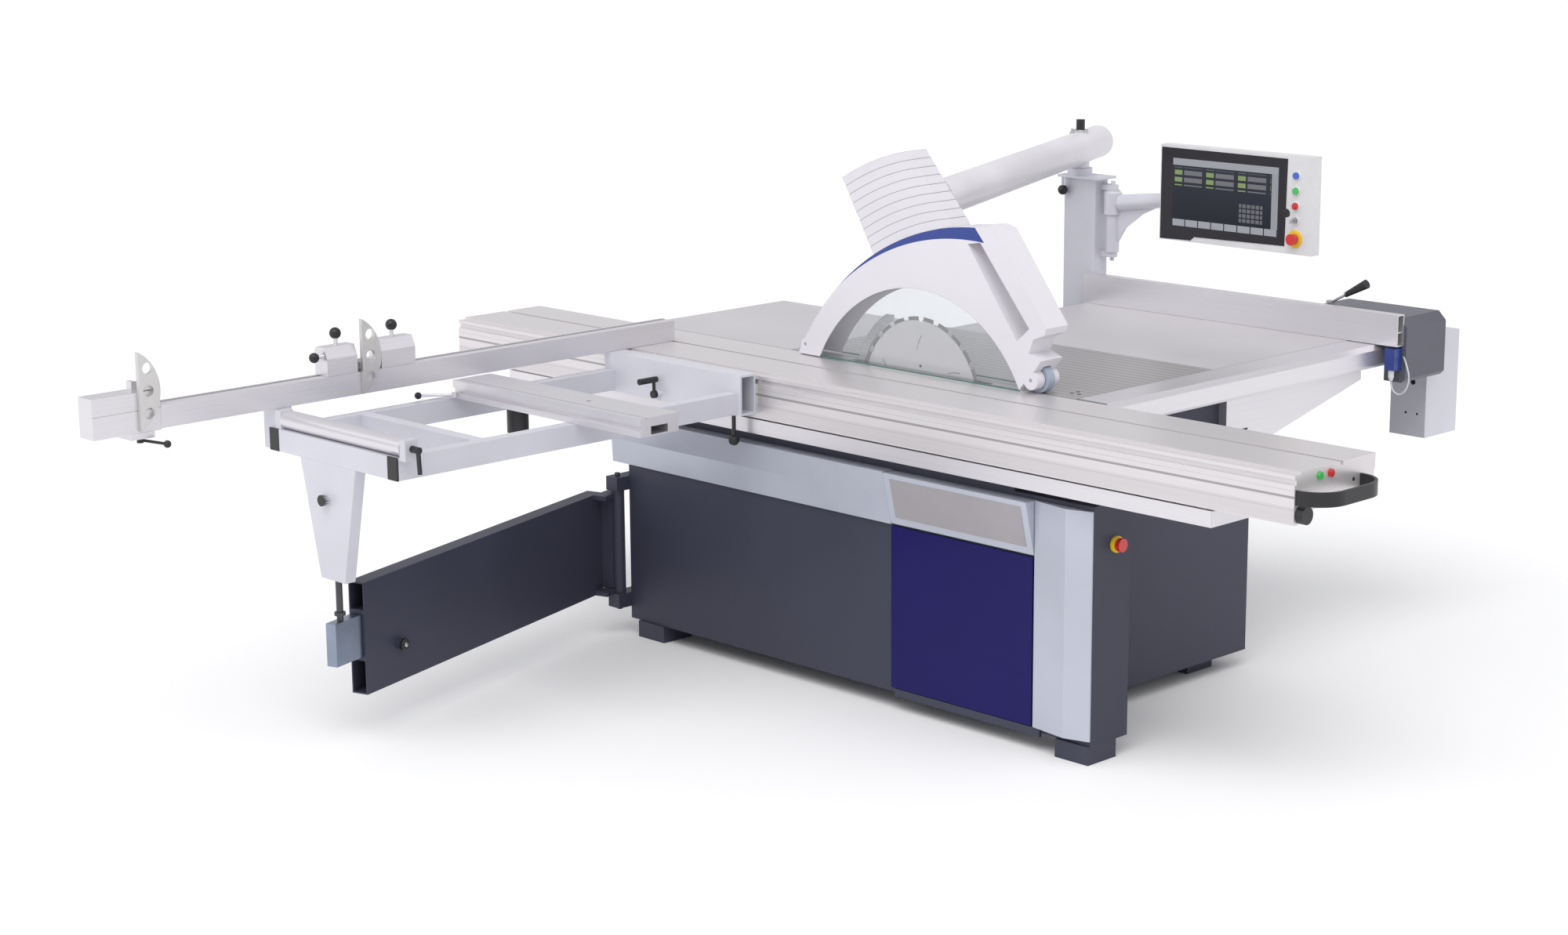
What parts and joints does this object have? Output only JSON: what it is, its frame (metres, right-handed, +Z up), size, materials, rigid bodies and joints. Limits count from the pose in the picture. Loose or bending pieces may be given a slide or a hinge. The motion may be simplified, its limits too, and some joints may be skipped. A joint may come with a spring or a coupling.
{
  "type": "sliding table panel saw",
  "caption": "Sliding-table panel saw with a long table carriage, outrigger with swing arm, crosscut fence with flip stops, overhead blade hood, control panel and rip fence.",
  "frame": {"origin": "centre of the footprint box, on the floor", "axes": "+X along the sliding table towards the operator's end, +Y across the machine towards the rip fence and control panel, +Z up"},
  "size_m": [3.286, 3.761, 1.5127],
  "materials": {
    "slate_paint": "satin",
    "silver_paint": "satin",
    "navy_paint": "satin",
    "light_paint": "satin",
    "white_paint": "satin",
    "cast_iron": "machined",
    "aluminium": "satin",
    "steel": "brushed",
    "chrome": "polished",
    "black_plastic": "matte",
    "glass": "clear",
    "red_plastic": "gloss",
    "green_plastic": "gloss",
    "blue_plastic": "gloss",
    "wheel_plastic": "matte",
    "blue_cable": "matte"
  },
  "bodies": {
    "base": {"base_cabinet": "slate_paint", "machine_feet": "slate_paint", "apron_band": "silver_paint", "badge_panel": "silver_paint", "column_cover": "silver_paint", "guide_rail": "aluminium", "cast_iron_table": "cast_iron", "extension_tables": "light_paint", "front_beam": "light_paint", "beam_end_box": "light_paint", "guard_post": "light_paint", "swing_bracket": "slate_paint"},
    "door": {"service_door": "navy_paint"},
    "cabinet_estop": {"column_stop": "red_plastic"},
    "tilt_unit": {"tilt_frame": "slate_paint"},
    "rise_unit": {"rise_carriage": "cast_iron", "riving_knife": "steel"},
    "arbor": {"saw_arbor": "steel", "saw_blade": "steel"},
    "table": {"sliding_table": "aluminium", "table_handle": "black_plastic"},
    "rollers": {"roller_carriage": "steel"},
    "table_lock": {"lock_grip": "black_plastic"},
    "table_start": {"start_button": "green_plastic"},
    "table_halt": {"halt_button": "red_plastic"},
    "outrigger": {"outrigger_channel": "light_paint", "outrigger_frame": "light_paint", "support_leg": "slate_paint"},
    "end_roller": {"support_roller": "steel"},
    "roller_clamp": {"roller_lever": "black_plastic"},
    "plank_body": {"plank": "aluminium"},
    "plank_clamp": {"plank_knob": "black_plastic"},
    "crank": {"channel_crank": "black_plastic"},
    "channel_clamp": {"channel_knob": "black_plastic"},
    "fence": {"crosscut_fence": "aluminium"},
    "extension": {"fence_extension": "aluminium"},
    "inner_stop": {"flip_stop_inner": "aluminium"},
    "outer_stop": {"flip_stop_outer": "aluminium"},
    "stops": {"stop_carriage": "aluminium"},
    "extension_clamp": {"fence_lever": "black_plastic"},
    "arm": {"swing_arm": "slate_paint"},
    "arm_tube": {"telescopic_arm": "light_paint"},
    "overarm": {"overarm_tube": "white_paint", "chimney": "white_paint"},
    "hood": {"hood_shell": "white_paint", "hood_window": "glass"},
    "hood_front_wheel": {"front_wheel": "wheel_plastic"},
    "hood_rear_wheel": {"rear_wheel": "wheel_plastic"},
    "panel_boom": {"panel_arm": "light_paint"},
    "panel": {"panel_housing": "silver_paint"},
    "panel_estop": {"panel_stop": "red_plastic"},
    "key": {"panel_key": "steel"},
    "button_red": {"panel_button_red": "red_plastic"},
    "button_green": {"panel_button_green": "green_plastic"},
    "button_blue": {"panel_button_blue": "blue_plastic"},
    "rip_saddle": {"rip_carriage": "slate_paint", "limit_switch": "blue_plastic", "switch_cable": "blue_cable"},
    "rip_bar": {"rip_fence": "aluminium"},
    "rip_clamp": {"rip_lever": "black_plastic"}
  },
  "joints": [
    {"name": "door_hinge", "type": "hinge", "parent": "base", "child": "door", "pos_m": [0.193, -0.0525, 0.3], "axis": [0, 0, 1], "range_deg": [-110, 0]},
    {"name": "cabinet_estop_push", "type": "slide", "parent": "base", "child": "cabinet_estop", "axis": [-1, 0, 0], "range_m": [0, 0.005], "stiffness_N_per_m": 3000, "springref_m": -0.004},
    {"name": "blade_tilt", "type": "hinge", "parent": "base", "child": "tilt_unit", "pos_m": [0.022, 0.2455, 0.89], "axis": [-1, 0, 0], "range_deg": [0, 4]},
    {"name": "blade_rise", "type": "slide", "parent": "tilt_unit", "child": "rise_unit", "axis": [0, 0, 1], "range_m": [-0.16, 0]},
    {"name": "arbor_spin", "type": "hinge", "parent": "rise_unit", "child": "arbor", "pos_m": [0.022, 0.2455, 0.82], "axis": [0, 1, 0], "continuous": true},
    {"name": "table_slide", "type": "slide", "parent": "base", "child": "table", "axis": [1, 0, 0], "range_m": [-1.6, 1.6]},
    {"name": "roller_travel", "type": "slide", "parent": "base", "child": "rollers", "axis": [1, 0, 0], "range_m": [-0.8, 0.8]},
    {"name": "table_lock_turn", "type": "hinge", "parent": "table", "child": "table_lock", "pos_m": [1.557, -0.0735, 0.786], "axis": [1, 0, 0], "range_deg": [-90, 90]},
    {"name": "table_start_push", "type": "slide", "parent": "table", "child": "table_start", "axis": [-1, 0, 0], "range_m": [0, 0.0035], "stiffness_N_per_m": 1500, "springref_m": -0.004},
    {"name": "table_halt_push", "type": "slide", "parent": "table", "child": "table_halt", "axis": [-1, 0, 0], "range_m": [0, 0.0035], "stiffness_N_per_m": 1500, "springref_m": -0.004},
    {"name": "outrigger_slide", "type": "slide", "parent": "table", "child": "outrigger", "axis": [1, 0, 0], "range_m": [-0.6, 0.6]},
    {"name": "end_roller_spin", "type": "hinge", "parent": "outrigger", "child": "end_roller", "pos_m": [-0.543, -1.3125, 0.864], "axis": [1, 0, 0], "continuous": true},
    {"name": "roller_clamp_turn", "type": "hinge", "parent": "outrigger", "child": "roller_clamp", "pos_m": [-0.258, -1.3125, 0.864], "axis": [1, 0, 0], "range_deg": [-60, 60]},
    {"name": "plank_slide", "type": "slide", "parent": "outrigger", "child": "plank_body", "axis": [0, 1, 0], "range_m": [-0.25, 0.3]},
    {"name": "plank_knob_turn", "type": "hinge", "parent": "plank_body", "child": "plank_clamp", "pos_m": [-0.588, -0.7175, 0.8], "axis": [0, 0, 1], "range_deg": [-180, 180]},
    {"name": "crank_turn", "type": "hinge", "parent": "outrigger", "child": "crank", "pos_m": [-0.633, -0.1795, 0.795], "axis": [0, 1, 0], "range_deg": [-90, 90]},
    {"name": "channel_knob_turn", "type": "hinge", "parent": "outrigger", "child": "channel_clamp", "pos_m": [-0.351, -0.1284, 0.74], "axis": [0, 0, 1], "range_deg": [-180, 180]},
    {"name": "fence_pivot", "type": "hinge", "parent": "outrigger", "child": "fence", "pos_m": [-0.861, -0.1295, 0.9], "axis": [0, 0, 1], "range_deg": [-45, 45]},
    {"name": "extension_slide", "type": "slide", "parent": "fence", "child": "extension", "axis": [0, 1, 0], "range_m": [-0.35, 0]},
    {"name": "stop_slide", "type": "slide", "parent": "fence", "child": "stops", "axis": [0, 1, 0], "range_m": [-0.45, 0.9]},
    {"name": "inner_stop_flip", "type": "hinge", "parent": "stops", "child": "inner_stop", "pos_m": [-0.878, -1.0195, 0.966], "axis": [0, 1, 0], "range_deg": [-90, 0]},
    {"name": "outer_stop_flip", "type": "hinge", "parent": "extension", "child": "outer_stop", "pos_m": [-0.878, -1.7165, 1.007], "axis": [0, 1, 0], "range_deg": [-90, 0]},
    {"name": "extension_clamp_turn", "type": "hinge", "parent": "extension", "child": "extension_clamp", "pos_m": [-0.879, -1.7255, 0.86], "axis": [0, 0, 1], "range_deg": [-60, 60]},
    {"name": "arm_swing", "type": "hinge", "parent": "base", "child": "arm", "pos_m": [-0.929, -0.0695, 0.29], "axis": [0, 0, 1], "range_deg": [-52, 52]},
    {"name": "arm_extend", "type": "slide", "parent": "arm", "child": "arm_tube", "axis": [0.299, -0.9542, 0], "range_m": [-0.03, 0.85]},
    {"name": "overarm_swing", "type": "hinge", "parent": "base", "child": "overarm", "pos_m": [-0.483, 1.5255, 1.378], "axis": [0, 0, 1], "range_deg": [-2, 2]},
    {"name": "hood_rise", "type": "slide", "parent": "overarm", "child": "hood", "axis": [-0.5878, 0, 0.809], "range_m": [0, 0.14]},
    {"name": "front_wheel_spin", "type": "hinge", "parent": "hood", "child": "hood_front_wheel", "pos_m": [0.469, 0.2455, 0.928], "axis": [0, 1, 0], "continuous": true},
    {"name": "rear_wheel_spin", "type": "hinge", "parent": "hood", "child": "hood_rear_wheel", "pos_m": [-0.395, 0.2455, 0.922], "axis": [0, 1, 0], "continuous": true},
    {"name": "panel_boom_swing", "type": "hinge", "parent": "base", "child": "panel_boom", "pos_m": [-0.365, 1.5505, 1.15], "axis": [0, 0, 1], "range_deg": [-20, 60]},
    {"name": "panel_swivel", "type": "hinge", "parent": "panel_boom", "child": "panel", "pos_m": [0.117, 1.5645, 1.27], "axis": [0, 0, 1], "range_deg": [-4, 25]},
    {"name": "panel_estop_push", "type": "slide", "parent": "panel", "child": "panel_estop", "axis": [0, 1, 0], "range_m": [0, 0.005], "stiffness_N_per_m": 3000, "springref_m": -0.004},
    {"name": "key_turn", "type": "hinge", "parent": "panel", "child": "key", "pos_m": [0.395, 1.4805, 1.227], "axis": [0, 1, 0], "range_deg": [0, 90]},
    {"name": "red_button_push", "type": "slide", "parent": "panel", "child": "button_red", "axis": [0, 1, 0], "range_m": [0, 0.0035], "stiffness_N_per_m": 1500, "springref_m": -0.004},
    {"name": "green_button_push", "type": "slide", "parent": "panel", "child": "button_green", "axis": [0, 1, 0], "range_m": [0, 0.0035], "stiffness_N_per_m": 1500, "springref_m": -0.004},
    {"name": "blue_button_push", "type": "slide", "parent": "panel", "child": "button_blue", "axis": [0, 1, 0], "range_m": [0, 0.0035], "stiffness_N_per_m": 1500, "springref_m": -0.004},
    {"name": "rip_saddle_slide", "type": "slide", "parent": "base", "child": "rip_saddle", "axis": [0, 1, 0], "range_m": [-1.15, 0]},
    {"name": "rip_fence_slide", "type": "slide", "parent": "rip_saddle", "child": "rip_bar", "axis": [1, 0, 0], "range_m": [-0.4, 0]},
    {"name": "rip_clamp_turn", "type": "hinge", "parent": "rip_saddle", "child": "rip_clamp", "pos_m": [0.492, 1.5335, 0.98], "axis": [0, 0, 1], "range_deg": [-45, 45]}
  ],
  "couplings": [
    {"joint": "roller_travel", "follows": "table_slide", "ratio": 0.5},
    {"joint": "arm_swing", "follows": "table_slide", "rad_per_m": 0.55}
  ]
}
